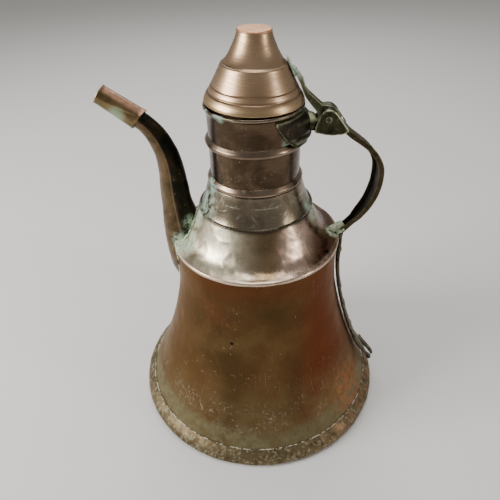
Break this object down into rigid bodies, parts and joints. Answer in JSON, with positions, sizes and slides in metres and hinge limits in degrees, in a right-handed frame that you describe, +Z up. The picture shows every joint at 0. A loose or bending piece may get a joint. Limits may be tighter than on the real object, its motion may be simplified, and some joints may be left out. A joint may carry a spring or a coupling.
{
  "type": "coffee pot",
  "caption": "Bell-bodied copper coffee pot (dallah) with a swan-neck spout, turned neck, channel handle with a long tail, and a conical lid hinged at the handle.",
  "frame": {"origin": "on the pot's axis, in the plane that it stands on", "axes": "+Z up along the axis, +X towards the handle, -X towards the spout"},
  "size_m": [0.2534, 0.2528, 0.3617],
  "materials": {
    "body_copper": "hammered copper, dark olive-brown patina, reddish where rubbed",
    "shoulder_copper": "hammered copper with worn tinning",
    "neck_copper": "turned copper, dark brown patina",
    "lid_copper": "turned and brushed copper, warm tan",
    "base_copper": "dull greenish grey-brown copper",
    "dark_brass": "cast brass, near-black olive patina",
    "grip_brass": "cast brass, olive-brown, rubbed yellow at its edges",
    "strap_brass": "cast brass, green patina",
    "sleeve_brass": "brass sheet, tan with green patches",
    "braze": "rough braze with pale green corrosion",
    "solder": "soft solder, dull grey"
  },
  "bodies": {
    "pot": {"base_pan": "base_copper", "base_seam_solder": "solder", "body_shell": "body_copper", "shoulder_shell": "shoulder_copper", "neck_collar": "neck_copper", "neck_tube": "neck_copper", "neck_ring_lower": "neck_copper", "neck_ring_upper": "neck_copper", "mouth_rim_wire": "neck_copper", "spout_tube": "dark_brass", "spout_sleeve": "sleeve_brass", "handle_bracket": "dark_brass", "handle_saddle": "dark_brass", "hinge_pin": "dark_brass", "handle_grip": "grip_brass", "handle_foot_braze": "braze", "tail_strap": "dark_brass", "tail_curl": "dark_brass"},
    "lid": {"lid_cone": "lid_copper", "lid_top_disc": "lid_copper", "lid_plug_ring": "lid_copper", "lid_strap_leaf": "strap_brass", "lid_strap": "strap_brass", "lid_rivet_upper": "strap_brass", "lid_rivet_lower": "strap_brass"}
  },
  "joints": [
    {"name": "lid_hinge", "type": "hinge", "parent": "pot", "child": "lid", "pos_m": [0.058, 0, 0.2978], "axis": [0, 1, 0], "range_deg": [0, 125]}
  ]
}
